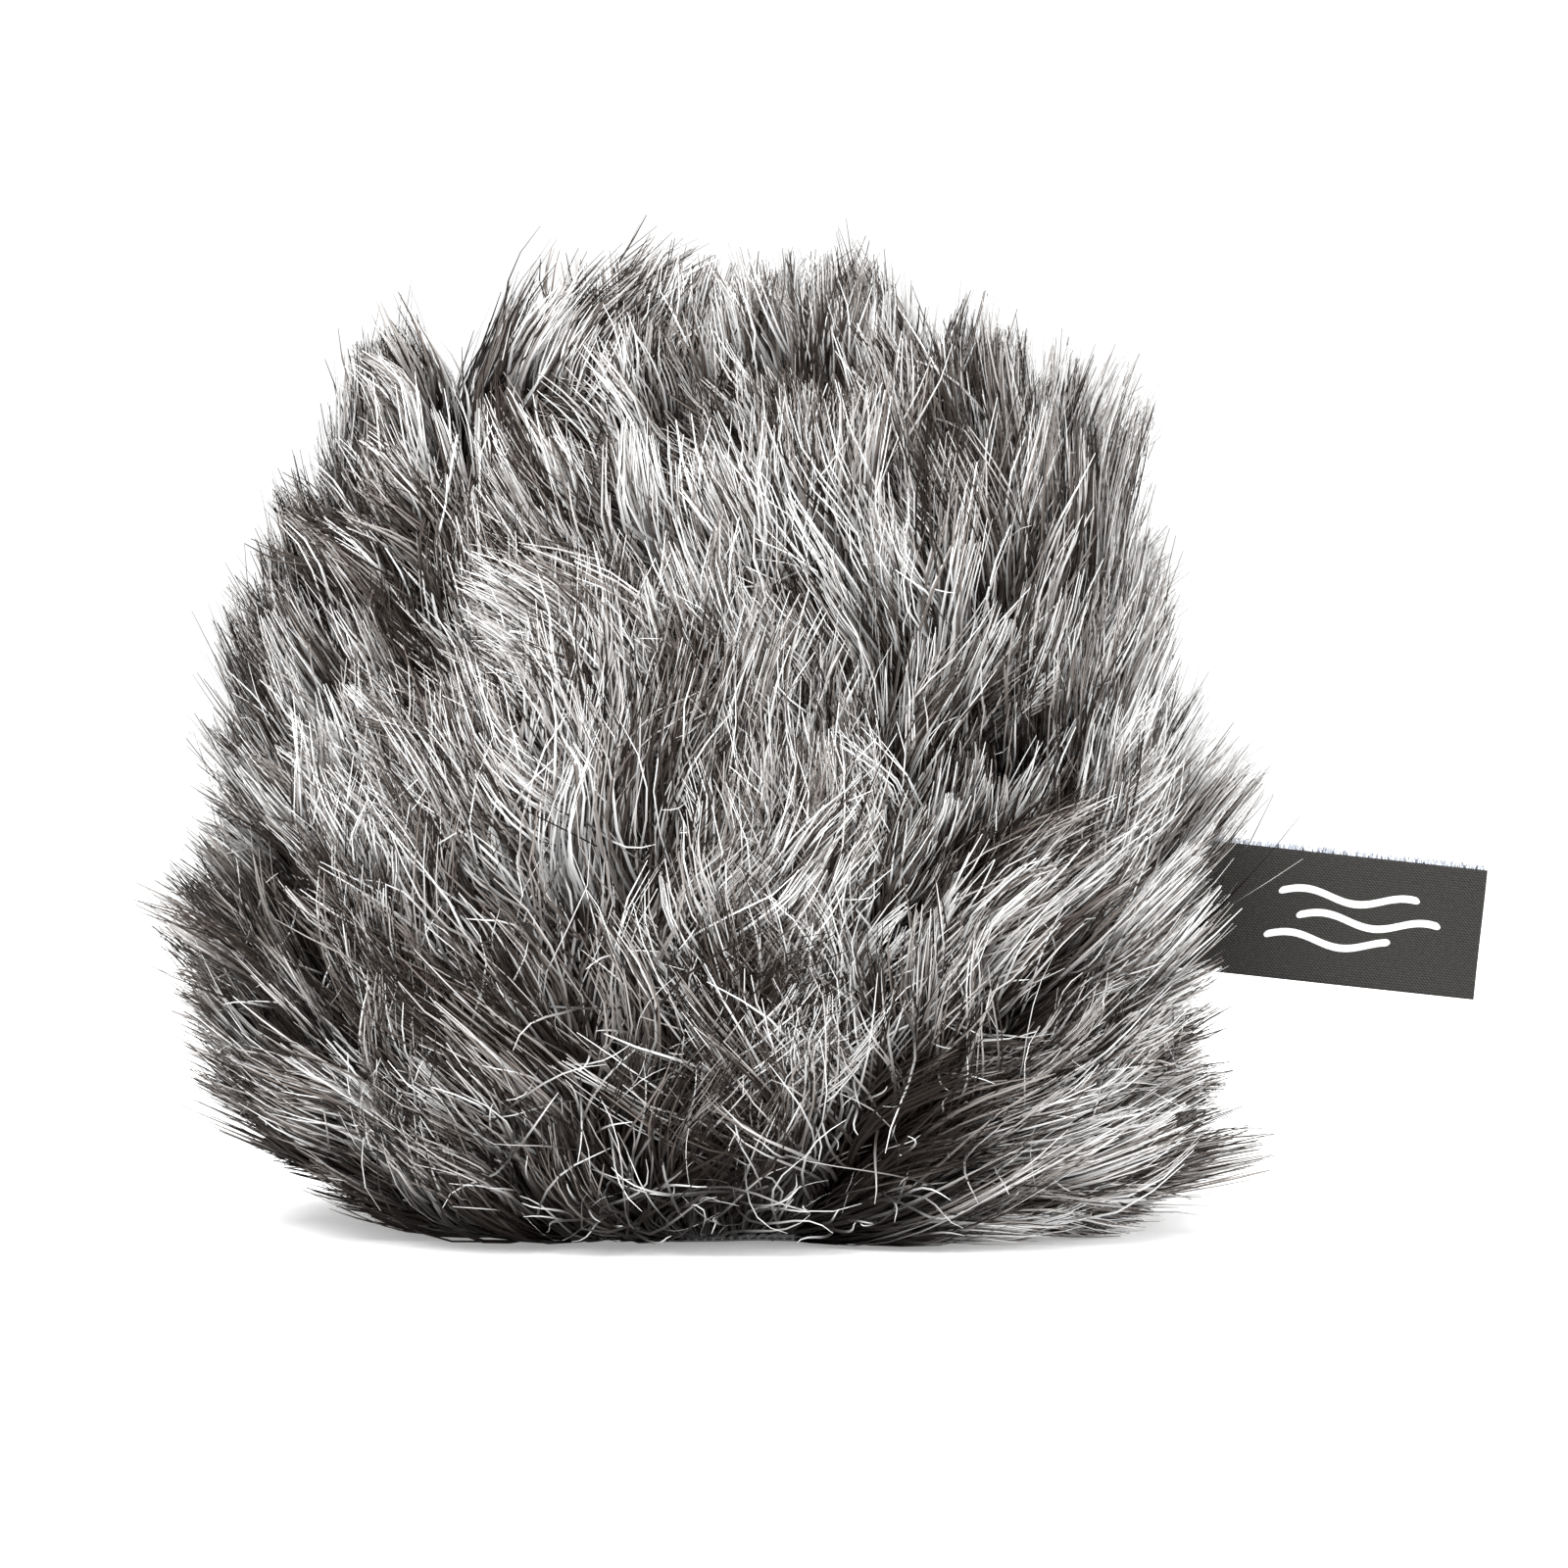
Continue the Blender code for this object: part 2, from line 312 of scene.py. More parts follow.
def scatter(count, rng, depth):
    """Random points, spread evenly over the dome, that lie a depth inside the envelope."""
    climb = np.linspace(0.0, math.pi / 2.0, 6001)
    side = dome_points(np.zeros_like(climb), climb, depth)
    arc = np.linalg.norm(np.diff(side, axis=0), axis=1) * (side[1:, 0] + side[:-1, 0])
    share = np.concatenate([[0.0], np.cumsum(arc)])
    turn = np.linspace(0.0, math.tau, 6001)
    round_arc = arc_lengths(dome_points(turn, np.full_like(turn, 0.6), depth))
    spots_up = np.interp(rng.random(count) * share[-1], share, climb)
    spots_round = np.interp(rng.random(count) * round_arc[-1], round_arc, turn)
    return dome_points(spots_round, spots_up, depth)


# ---- how the pile is combed

SWIRL = Waves(11, 34.0 * MM)
RIPPLE = Waves(12, 13.0 * MM)
SWAY_PHASE = Waves(13, 30.0 * MM)
LOCK_TONE = Waves(14, 11.0 * MM)


def tip_gauge(points):
    """How far out a point lies as a multiple of the tip envelope: 1 on it, less inside."""
    across = points[:, 0] / MM
    right = 0.5 + 0.5 * np.tanh(across / 20.0)
    power = LEFT_POWER + (RIGHT_POWER - LEFT_POWER) * right
    half_width = TIP_LEFT + (TIP_RIGHT - TIP_LEFT) * right
    z = np.maximum(points[:, 2], 0.0)
    left_tuck = drawn_in(z, *LEFT_DRAW)
    side_tuck = left_tuck + (drawn_in(z, *RIGHT_DRAW) - left_tuck) * right
    x = np.abs(points[:, 0]) / (half_width - side_tuck)
    y = np.abs(points[:, 1]) / (TIP_DEPTH - drawn_in(z, *WALL_DRAW))
    plan = (x**PLAN_POWER + y**PLAN_POWER) ** (1.0 / PLAN_POWER)
    notch = NOTCH * bump(across, CROWN_PARTING - 1.5, 4.0)
    step = STEP_DOWN * smooth(across, 20.0, 26.0)
    return (plan**power + (z / (TIP_HEIGHT - notch - step)) ** power) ** (1.0 / power)


def trimmed(paths, reach):
    """Scales each path about its root until its tip lies at a multiple, reach, of the tip envelope."""
    low = np.full(len(paths), 0.15)
    high = np.full(len(paths), 1.45)
    root = paths[:, :1]
    run = paths[:, -1] - paths[:, 0]
    for _ in range(12):
        middle = (low + high) / 2.0
        inside = tip_gauge(paths[:, 0] + run * middle[:, None]) < reach
        low = np.where(inside, middle, low)
        high = np.where(inside, high, middle)
    return root + (paths - root) * low[:, None, None], low


def on_wall(points):
    """Places across and up a wall, its side, 1 in front and -1 behind, and how squarely they face it."""
    side = np.where(points[:, 1] < 0.0, 1.0, -1.0)
    squarely = smooth(np.abs(points[:, 1]) / HALF_DEPTH, 0.08, 0.45)
    return points[:, 0] / MM * side, points[:, 2] / MM, side, squarely


def parted(points):
    """Push of the partings on the tips around them, and how deep in a parting each point is."""
    across, up, side, squarely = on_wall(points)
    push = np.zeros_like(points)
    depth = np.zeros(len(points))
    for middle, height, radius, strength in PARTINGS:
        dx = (across - middle) / radius
        dz = (up - height) / radius
        near = np.exp(-(dx**2 + dz**2)) * squarely
        push[:, 0] += strength * PARTING_PUSH * dx * near * side
        push[:, 2] += strength * PARTING_LIFT * dz * near
        depth += strength * near
    return push, depth


def comb(points, normals):
    """Directions of the tips: up the wall and away from it, fanning out from the mouth, with swirls."""
    across, z, side, squarely = on_wall(points)
    x = points[:, 0] / MM
    # Seen square on, each wall's pile fans out from a point a little below the middle of the mouth.
    spread_right = 0.28 + 0.45 * np.exp(-z / 24.0)
    spread_left = 0.55 + 0.20 * smooth(-across, 26.0, 38.0)
    outward = x * np.where(across > 0.0, spread_right, spread_left)
    upward = (z + FAN_DEPTH) * (1.0 + 0.25 * smooth(z, 20.0, 60.0))
    fan = unit(np.stack([outward, np.zeros_like(x), upward], axis=-1))
    tips = normals * (0.28 + 0.10 * squarely)[:, None] + fan
    tips[:, 1] += 0.35 * np.exp(-z / 10.0) * points[:, 1] / HALF_DEPTH

    lean = -0.20 * bump(across, 16.0, 24.0) * smooth(z, 84.0, 92.0)
    for middle, width, height, reach, amount in LEANS:
        lean += amount * bump(across, middle, width) * bump(z, height, reach)
    tips[:, 0] += lean * squarely * side

    # The tufts on both sides of the crown's parting stand up away from it.
    from_parting = x - CROWN_PARTING
    ridge = smooth(z, 78.0, 90.0)
    tips[:, 0] += 2.2 * bump(from_parting, 6.0, 8.5) * ridge
    tips[:, 0] -= 0.70 * bump(from_parting, -7.0, 7.0) * ridge
    tips[:, 1] += 0.25 * smooth(z, 84.0, 95.0) * np.clip(-points[:, 1] / HALF_DEPTH, -1.0, 1.0)
    tips += parted(points + unit(tips) * VISIBLE_RUN)[0]
    tips += SWIRL(points) * np.array([0.36, 0.30, 0.16])
    tips += RIPPLE(points) * np.array([0.20, 0.20, 0.10])
    return unit(tips)


def grow(roots, normals, tips, lengths, curl, phase, turns):
    """Paths of STEPS + 1 points from each root: out along the normal, then over to the tip direction."""
    start = normals.copy()
    start[:, 2] = np.maximum(start[:, 2], -0.1)
    start = unit(start + 0.45 * tips)
    across = unit(np.cross(normals, tips))
    paths = np.empty((len(roots), STEPS + 1, 3))
    paths[:, 0] = roots
    for step in range(STEPS):
        t = (step + 0.5) / STEPS
        turned = smooth(t, -0.1, 0.62)
        heading = start * (1.0 - turned) + tips * turned
        sway = curl * np.sin(phase + math.tau * turns * t)
        heading = unit(heading + across * sway[:, None])
        paths[:, step + 1] = paths[:, step] + heading * (np.reshape(lengths, (-1, 1)) / STEPS)
    return paths


def nearest(points, centres):
    """For each point the index of the closest centre."""
    tree = kdtree.KDTree(len(centres))
    for index, centre in enumerate(centres):
        tree.insert(centre, index)
    tree.balance()
    return np.array([tree.find(point)[1] for point in points])


def gathered(paths, centre_paths, owner, strength):
    """Draws each path in towards its centre's path, little at the root and by its strength at the tip."""
    pull = strength[:, None] * (0.12 + 0.88 * ALONG_HAIR**1.15)
    return paths + (centre_paths[owner] - paths) * pull[:, :, None]


def off_floor(paths):
    """Presses what would go under the floor flat on it."""
    floor = FLOOR_CLEARANCE
    low = paths[..., 2]
    pressed = floor + floor * np.exp(np.minimum(low - floor * 2.0, 0.0) / floor)
    raised = paths.copy()
    raised[..., 2] = np.where(low < floor * 2.0, pressed, low)
    return raised


def sway_of(points, rng, jitter):
    """Phase and turns of the wave along each hair: neighbours sway alike."""
    phase = SWAY_PHASE(points)[:, 0] * 3.0 + rng.normal(size=len(points)) * jitter
    return phase, rng.uniform(0.60, 1.05, len(points))


def crown_valley(points, level):
    """How deep each point is in the valley that the crown seam makes across both walls, up at a level."""
    across, up, _, squarely = on_wall(points)
    valley = bump(up, level, 4.5) * smooth(across, -26.0, -18.0) * (1.0 - smooth(across, 34.0, 42.0))
    return valley * squarely


def zone_tone(points):
    """Tone by where the tips lie: painted shade low down, in the crown valley, in the partings and on the
    left; painted light along the floor and on the right; lighter tips in the light tufts.
    """
    across, z, _, squarely = on_wall(points)
    x = points[:, 0] / MM
    # Painted shade darkens the hairs low down; painted light brightens those along the floor.
    tone = -0.06 - 0.28 * (1.0 - smooth(z, 4.0, 50.0)) + 0.45 * (1.0 - smooth(z, 0.0, 7.0))
    # Painted light on the right, painted shade on the left.
    tone += 0.10 * smooth(x, 24.0, 55.0) - 0.14 * smooth(-x, 30.0, 46.0) * smooth(z, 12.0, 30.0)
    # Painted shade in the crown seam's valley and in the partings.
    tone -= 0.27 * crown_valley(points, VALLEY_LEVEL) + PARTING_PAINTED_SHADE * parted(points)[1]
    for middle, height, radius, strength in LIGHT_TUFTS:
        tone += strength * bump(across, middle, radius) * bump(z, height, radius) * squarely
    return tone


def stand_out(tips):
    """How much further out a lock reaches whose tip lies at one of the spikes."""
    extra = np.zeros(len(tips))
    for across, up, share in SPIKES:
        apart = np.hypot(tips[:, 0] / MM - across, tips[:, 2] / MM - up)
        extra += share * bump(apart, 0.0, SPIKE_RADIUS)
    return extra


def rooted(rng, count):
    """Roots of so many hairs, spread evenly over the dome, and the normals there."""
    roots = scatter(count, rng, PILE)
    return roots, dome_normals(roots, PILE)


def make_locks(rng):
    """The locks that the pile falls into: their roots, paths, reach and tone."""
    roots, normals = rooted(rng, LOCKS)
    tips = unit(comb(roots, normals) + rng.normal(size=(LOCKS, 3)) * LOCK_DISORDER)
    curl = rng.uniform(0.20, 0.80, LOCKS)
    phase, turns = sway_of(roots, rng, 0.7)
    paths = grow(roots, normals, tips, STRAND_LENGTH, curl, phase, turns)
    reach = np.minimum(0.992 + rng.normal(size=LOCKS) * 0.040, 1.04)
    reach -= 0.075 * crown_valley(roots, SEAM_LEVEL)
    tone = LOCK_TONE(roots)[:, 0] * 0.14 + rng.normal(size=LOCKS) * 0.20
    # Locks in hollows, more of them low down, are shorter and get painted shade.
    hollow = rng.random(LOCKS) < 0.16 + 0.12 * (1.0 - smooth(roots[:, 2] / MM, 10.0, 50.0))
    tone[hollow] -= HOLLOW_PAINTED_SHADE
    reach[hollow] -= HOLLOW_DEPTH
    extra = stand_out(trimmed(paths, reach)[0][:, -1])
    reach += extra
    paths = trimmed(paths, reach)[0]
    run = dict(tips=tips, curl=curl, phase=phase, turns=turns, paths=paths)
    return SimpleNamespace(roots=roots, reach=reach, extra=extra, tone=tone, **run)


def make_wisps(rng, locks):
    """Wisps of a few hairs, drawn in towards their locks. Their scale is the share that trimming left."""
    roots, normals = rooted(rng, WISPS)
    lock = nearest(roots, locks.roots)
    tips = comb(roots, normals) * 0.45 + locks.tips[lock] * 0.55
    tips = unit(tips + rng.normal(size=(WISPS, 3)) * HAIR_DISORDER)
    curl = locks.curl[lock] * rng.uniform(0.5, 1.3, WISPS)
    phase = locks.phase[lock] + rng.normal(size=WISPS) * 0.5
    turns = locks.turns[lock]
    paths = grow(roots, normals, tips, STRAND_LENGTH, curl, phase, turns)
    reach = locks.reach[lock] + rng.normal(size=WISPS) * 0.016 - rng.exponential(0.024, WISPS)
    paths, scale = trimmed(paths, reach)
    pull = rng.uniform(0.18, 0.74, WISPS) + 3.0 * locks.extra[lock]
    paths = gathered(paths, locks.paths, lock, np.minimum(pull, 0.85))
    shade = rng.beta(0.72, 0.66, WISPS)
    tone = locks.tone[lock] + rng.normal(size=WISPS) * 0.08
    run = dict(tips=tips, curl=curl, phase=phase, turns=turns, paths=paths)
    return SimpleNamespace(roots=roots, scale=scale, shade=shade, tone=tone, **run)


def make_strands(rng, wisps):
    """Every hair's path, the normal at its root and its shade from 0, dark, to 1, silver."""
    roots, normals = rooted(rng, STRANDS)
    wisp = nearest(roots, wisps.roots)
    tips = unit(wisps.tips[wisp] + rng.normal(size=(STRANDS, 3)) * HAIR_DISORDER)
    curl = wisps.curl[wisp] * rng.uniform(0.7, 1.2, STRANDS)
    phase = wisps.phase[wisp] + rng.normal(size=STRANDS) * 0.25
    lengths = STRAND_LENGTH * wisps.scale[wisp] * rng.uniform(0.66, 1.04, STRANDS)
    paths = grow(roots, normals, tips, lengths, curl, phase, wisps.turns[wisp])
    hold = np.where(rng.random(STRANDS) < 0.10, 0.1, rng.uniform(0.50, 0.92, STRANDS))
    paths = gathered(paths, wisps.paths, wisp, hold)
    shades = np.where(rng.random(STRANDS) < 0.55, rng.beta(0.90, 0.84, STRANDS), wisps.shade[wisp])
    # Each hair takes the painted light and shade of the place where its tip lies.
    shades += wisps.tone[wisp] + zone_tone(paths[:, -2])
    shades[wisps.scale[wisp] < STUB] = 0.0
    # A strand that points into the floor would lie on it as specks.
    kept = paths[:, -1, 2] > -2.0 * MM
    return paths[kept], normals[kept], np.clip(shades, 0.0, 1.0)[kept]


def make_strays(rng):
    """Single bent hairs that have worked loose and lie across the locks, mostly low down."""
    anywhere = scatter(STRAYS, rng, STRAY_DEPTH)
    spare = scatter(LOW_STRAYS * 8, rng, STRAY_DEPTH)
    heights = spare[:, 2] / MM
    low = spare[heights < 30.0][:LOW_STRAYS]
    skirt = spare[(heights > 1.5) & (heights < 7.0)][:SKIRT_STRAYS]
    roots = np.concatenate([anywhere, low, skirt])
    normals = dome_normals(roots, STRAY_DEPTH)
    count = len(roots)
    tips = unit(comb(roots, normals) * 0.55 + rng.normal(size=(count, 3)) * STRAY_DISORDER)
    tips[-len(skirt) :, 2] *= 0.35
    lengths = rng.uniform(7.0, 18.0, count) * MM
    phase, turns = sway_of(roots, rng, 2.0)
    paths = grow(roots, normals, tips, lengths, rng.uniform(0.1, 0.7, count), phase, turns)
    paths, scale = trimmed(paths, rng.uniform(0.91, 0.985, count))
    # Those that touch the floor, are trimmed to stubs or are rooted too far out would show as specks.
    clear = (paths[:, :, 2].min(axis=1) > 1.2 * MM) & (scale > 0.4) & (tip_gauge(roots) < 0.90)
    return paths[clear], normals[clear]


def placed(name, data):
    """A new object in the scene."""
    obj = bpy.data.objects.new(name, data)
    bpy.context.scene.collection.objects.link(obj)
    return obj


def placed_bmesh(name, bm):
    """A new smooth object in the scene from a bmesh."""
    mesh = bpy.data.meshes.new(name)
    bm.to_mesh(mesh)
    bm.free()
    mesh.shade_smooth()
    return placed(name, mesh)


def quad_mesh(name, verts, quads, layer_name, corner_uv):
    """A new smooth object of quads with one UV layer."""
    mesh = bpy.data.meshes.new(name)
    mesh.vertices.add(len(verts))
    mesh.vertices.foreach_set("co", verts.astype(np.float32).ravel())
    mesh.loops.add(quads.size)
    mesh.loops.foreach_set("vertex_index", quads.astype(np.int32).ravel())
    mesh.polygons.add(len(quads))
    mesh.polygons.foreach_set("loop_start", np.arange(0, quads.size, 4, dtype=np.int32))
    mesh.update(calc_edges=True)
    mesh.shade_smooth()
    layer = mesh.uv_layers.new(name=layer_name)
    layer.uv.foreach_set("vector", corner_uv.astype(np.float32).ravel())
    return placed(name, mesh)


def bridge(bm, rows, closed=False):
    """Faces between neighbouring rows of vertices."""
    for lower, upper in zip(rows, rows[1:]):
        for i in range(0 if closed else 1, len(lower)):
            bm.faces.new((lower[i - 1], lower[i], upper[i], upper[i - 1]))


def strand_mesh(name, paths, normals, shades, widths, rng):
    """Tapering ribbons along the paths, turned at random about them, shaded as if they were round.

    Each ribbon's UVs lie at its shade across and run from 0 at the root to 1 at the tip.
    """
    count = len(paths)
    points = STEPS + 1
    tangents = unit(np.gradient(paths, axis=1))
    outward = normals[:, None, :]
    outward = unit(outward - tangents * (outward * tangents).sum(axis=2, keepdims=True))
    side = np.cross(tangents, outward)
    roll = rng.uniform(-1.15, 1.15, count)[:, None, None]
    across = side * np.cos(roll) + outward * np.sin(roll)
    facing = outward * np.cos(roll) - side * np.sin(roll)
    taper = (0.85 + 0.15 * np.sin(ALONG_HAIR * math.pi)) * (1.0 - 0.78 * ALONG_HAIR**2.2)
    half = (widths[:, None] * taper / 2.0)[:, :, None]
    verts = np.stack([paths - across * half, paths + across * half], axis=2).reshape(-1, 3)
    shaded = unit(0.72 * outward + 0.28 * facing)
    rounding = across * 0.55
    shading = np.stack([shaded - rounding, shaded + rounding], axis=2).reshape(-1, 3)

    first = (np.arange(count) * points * 2)[:, None] + np.arange(STEPS) * 2
    quads = np.stack([first, first + 1, first + 3, first + 2], axis=-1).reshape(-1, 4)
    uv_half = 0.004
    u = np.clip(shades, uv_half, 1.0 - uv_half)
    vert_u = np.repeat(u[:, None], points * 2, axis=1) + np.tile([-uv_half, uv_half], points)
    vert_v = np.tile(np.repeat(ALONG_HAIR, 2), (count, 1))
    vert_uv = np.stack([vert_u.ravel(), vert_v.ravel()], axis=-1)
    obj = quad_mesh(name, verts, quads, "OFBake", vert_uv[quads])
    free_normals = obj.data.attributes.new("custom_normal", "FLOAT_VECTOR", "POINT")
    free_normals.data.foreach_set("vector", unit(shading).astype(np.float32).ravel())
    return obj


# ---- materials


class Nodes:
    """Short helper for building a material's nodes. Settings are inputs of its shader, by name."""

    def __init__(self, name, settings):
        self.material = bpy.data.materials.new(name)
        self.material.use_nodes = True
        self.tree = self.material.node_tree
        self.shader = self.tree.nodes["Principled BSDF"]
        for key, value in settings.items():
            self.shader.inputs[key].default_value = value

    def add(self, kind, **settings):
        node = self.tree.nodes.new(kind)
        for key, value in settings.items():
            setattr(node, key, value)
        return node

    def link(self, source, target):
        self.tree.links.new(source, target)

    def ramp(self, source, stops):
        """A colour ramp read from a value. Stops are (place, colour)."""
        node = self.add("ShaderNodeValToRGB")
        elements = node.color_ramp.elements
        while len(elements) > 1:
            elements.remove(elements[-1])
        for index, (place, colour) in enumerate(stops):
            element = elements[0] if index == 0 else elements.new(place)
            element.position = place
            element.color = (*colour, 1.0)
        self.link(source, node.inputs["Fac"])
        return node.outputs["Color"]

    def paint(self, source, *stops):
        """The base colour, as a ramp read from a value."""
        self.link(self.ramp(source, stops), self.shader.inputs["Base Color"])

    def math(self, operation, *values):
        """A Math node over numbers and sockets."""
        node = self.add("ShaderNodeMath", operation=operation)
        for value, socket in zip(values, node.inputs):
            if isinstance(value, (int, float)):
                socket.default_value = value
            else:
                self.link(value, socket)
        return node.outputs["Value"]

    def wave(self, source, pitch):
        """Half a sine's swing, 0 to 1, repeating at a pitch in metres."""
        turns = self.math("MULTIPLY", source, math.tau / pitch)
        return self.math("MULTIPLY_ADD", self.math("SINE", turns), 0.5, 0.5)

    def axes(self, layer):
        """A UV layer's parts: metres across and along on cloth, shade and place along on a hair."""
        layout = self.add("ShaderNodeUVMap", uv_map=layer)
        split = self.add("ShaderNodeSeparateXYZ")
        self.link(layout.outputs["UV"], split.inputs["Vector"])
        return split.outputs["X"], split.outputs["Y"]

    def bump(self, height, distance):
        node = self.add("ShaderNodeBump")
        node.inputs["Distance"].default_value = distance
        node.inputs["Strength"].default_value = 0.8
        self.link(height, node.inputs["Height"])
        self.link(node.outputs["Normal"], self.shader.inputs["Normal"])


def fur_material():
    """Hairs that are brown-black at the root and grey to silver-white at the tip, by their shade."""
    nodes = Nodes("silver_grey_fur", {"Roughness": 0.42, "Specular IOR Level": 0.08})
    shade, along = nodes.axes("OFBake")
    tips = (
        (0.0, (0.015, 0.011, 0.009)),
        (0.20, (0.046, 0.037, 0.032)),
        (0.38, (0.170, 0.147, 0.133)),
        (0.58, (0.420, 0.403, 0.391)),
        (0.76, (0.680, 0.673, 0.670)),
        (1.0, (0.830, 0.830, 0.830)),
    )
    tip_share = ((0.0, 0.0), (0.40, 0.05), (0.62, 0.45), (0.84, 1.0), (1.0, 1.0))
    mix = nodes.add("ShaderNodeMix", data_type="RGBA")
    mix.inputs["A"].default_value = (0.007, 0.0045, 0.0035, 1.0)
    nodes.link(nodes.ramp(shade, tips), mix.inputs["B"])
    share = nodes.ramp(along, [(place, (level,) * 3) for place, level in tip_share])
    nodes.link(share, mix.inputs["Factor"])
    nodes.link(mix.outputs["Result"], nodes.shader.inputs["Base Color"])
    return nodes.material


def knit_material():
    """Dark knitted backing: small V stitches in columns, as bump, with painted shade between the
    stitches.
    """
    nodes = Nodes("dark_knit_backing", {"Roughness": 0.9, "Sheen Weight": 0.3})
    columns, rows = nodes.axes("cloth")
    height = nodes.math("MULTIPLY", nodes.wave(columns, 1.1 * MM), nodes.wave(rows, 0.8 * MM))
    # The colour darkens where the stitches dip: painted shade.
    nodes.paint(height, (0.0, (0.005, 0.004, 0.004)), (1.0, (0.028, 0.024, 0.022)))
    nodes.bump(height, 0.25 * MM)
    return nodes.material


def foam_material():
    """Open-cell foam: pale struts, with painted shade in the pores between them."""
    nodes = Nodes("charcoal_open_cell_foam", {"Roughness": 0.95})
    place = nodes.add("ShaderNodeTexCoord")
    cells = nodes.add("ShaderNodeTexVoronoi", feature="DISTANCE_TO_EDGE")
    cells.inputs["Scale"].default_value = 900.0
    nodes.link(place.outputs["Object"], cells.inputs["Vector"])
    from_strut = cells.outputs["Distance"]
    # Painted shade: the pores are dark, the struts pale.
    nodes.paint(from_strut, (0.0, (0.085, 0.085, 0.09)), (0.35, (0.012, 0.012, 0.013)))
    nodes.bump(nodes.math("SUBTRACT", 1.0, from_strut), 0.5 * MM)
    return nodes.material


def net_material():
    """Black warp-knitted mesh lining: a honeycomb of holes, painted dark with the shade seen through
    them.
    """
    nodes = Nodes("black_mesh_lining", {"Roughness": 0.75, "Sheen Weight": 0.25})
    pitch = 1.8 * MM
    across, along = nodes.axes("cloth")
    hole = nodes.math("MULTIPLY", nodes.wave(across, pitch), nodes.wave(along, pitch))
    yarn, edge, hole_shade = (0.040, 0.040, 0.043), (0.030, 0.030, 0.032), (0.004, 0.004, 0.004)
    # Painted shade: darker towards each hole and darkest in it.
    nodes.paint(hole, (0.0, yarn), (0.42, edge), (0.55, hole_shade))
    nodes.bump(nodes.math("SUBTRACT", 1.0, hole), 0.4 * MM)
    return nodes.material


def weave_material(name, dark, light, pitch, roughness, sheen):
    """Plain weave: over-and-under yarns with a little painted shade between them."""
    nodes = Nodes(name, {"Roughness": roughness, "Sheen Weight": sheen, "Specular IOR Level": 0.25})
    across, along = nodes.axes("cloth")
    apart = nodes.math("SUBTRACT", nodes.wave(across, pitch), nodes.wave(along, pitch))
    height = nodes.math("ABSOLUTE", apart)
    # Painted shade where the yarns dip.
    nodes.paint(height, (0.0, dark), (1.0, light))
    nodes.bump(height, pitch * 0.3)
    return nodes.material


def twill_material():
    """Tightly woven charcoal label: fine diagonal ribs with single yarns showing along them, random
    flecks, and painted shade in the grooves.
    """
    nodes = Nodes("charcoal_woven_label", {"Roughness": 0.72, "Specular IOR Level": 0.18})
    across, along = nodes.axes("cloth")
    rib = nodes.wave(nodes.math("ADD", across, along), 0.42 * MM)
    yarn = nodes.wave(along, 0.30 * MM)
    height = nodes.math("MULTIPLY_ADD", yarn, 0.30, nodes.math("MULTIPLY", rib, 0.45))
    fleck = nodes.add("ShaderNodeTexNoise")
    fleck.inputs["Scale"].default_value = 2600.0
    place = nodes.add("ShaderNodeUVMap", uv_map="cloth")
    nodes.link(place.outputs["UV"], fleck.inputs["Vector"])
    tone = nodes.math("MULTIPLY_ADD", fleck.outputs["Fac"], 0.5, height)
    dark, usual, light = (0.008, 0.0076, 0.007), (0.019, 0.018, 0.0165), (0.044, 0.042, 0.039)
    # Tone: random flecks of yarn, and painted shade where ribs and yarns dip.
    nodes.paint(tone, (0.25, dark), (0.62, usual), (1.0, light))
    nodes.bump(height, 0.10 * MM)
    return nodes.material


def thread_material(name, dark, light, pitch, roughness=0.5):
    """Twisted sewing thread: slanting plies, with painted shade between them."""
    nodes = Nodes(name, {"Roughness": roughness})
    place = nodes.add("ShaderNodeTexCoord")
    split = nodes.add("ShaderNodeSeparateXYZ")
    nodes.link(place.outputs["Object"], split.inputs["Vector"])
    level = nodes.math("ADD", split.outputs["X"], split.outputs["Z"])
    ply = nodes.wave(nodes.math("ADD", level, split.outputs["Y"]), pitch)
    # Painted shade in the grooves between the plies.
    nodes.paint(ply, (0.0, dark), (1.0, light))
    nodes.bump(ply, pitch * 0.25)
    return nodes.material


# ---- cloth and foam


def grid_uv(across, along):
    """Places on the cloth from a row and a column of them."""
    return np.stack(np.broadcast_arrays(across, along), axis=-1)


def grid_mesh(name, points, cloth_uv, close_across=False):
    """A quad sheet over rows x columns of points, with their places on the cloth, in metres, as UV."""
    rows, columns = points.shape[:2]
    index = np.arange(rows * columns).reshape(rows, columns)
    uv = cloth_uv.reshape(-1, 2)
    after = np.roll(index, -1, axis=1)
    last = columns if close_across else columns - 1
    quads = np.stack([index[:-1, :last], after[:-1, :last], after[1:, :last], index[1:, :last]], axis=-1)
    quads = quads.reshape(-1, 4)
    corner_uv = uv[quads]
    if close_across:
        width = np.ptp(uv[:, 0]) * columns / (columns - 1)
        wrapped = corner_uv[:, :, 0] < corner_uv[:, :1, 0] - width / 2.0
        corner_uv[:, :, 0] += wrapped * width
    return quad_mesh(name, points.reshape(-1, 3), quads, "cloth", corner_uv)


def thicken(obj, thickness):
    """Gives a sheet its thickness, half to each side."""
    solid = obj.modifiers.new("thickness", "SOLIDIFY")
    solid.thickness = thickness
    solid.offset = 0.0


def dress(obj, material, replaced):
    """Gives a piece its material and its place on the hood, and hides the node that it stands for."""
    obj.data.materials.append(material)
    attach(obj, "hood")
    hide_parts(replaced)
    return obj


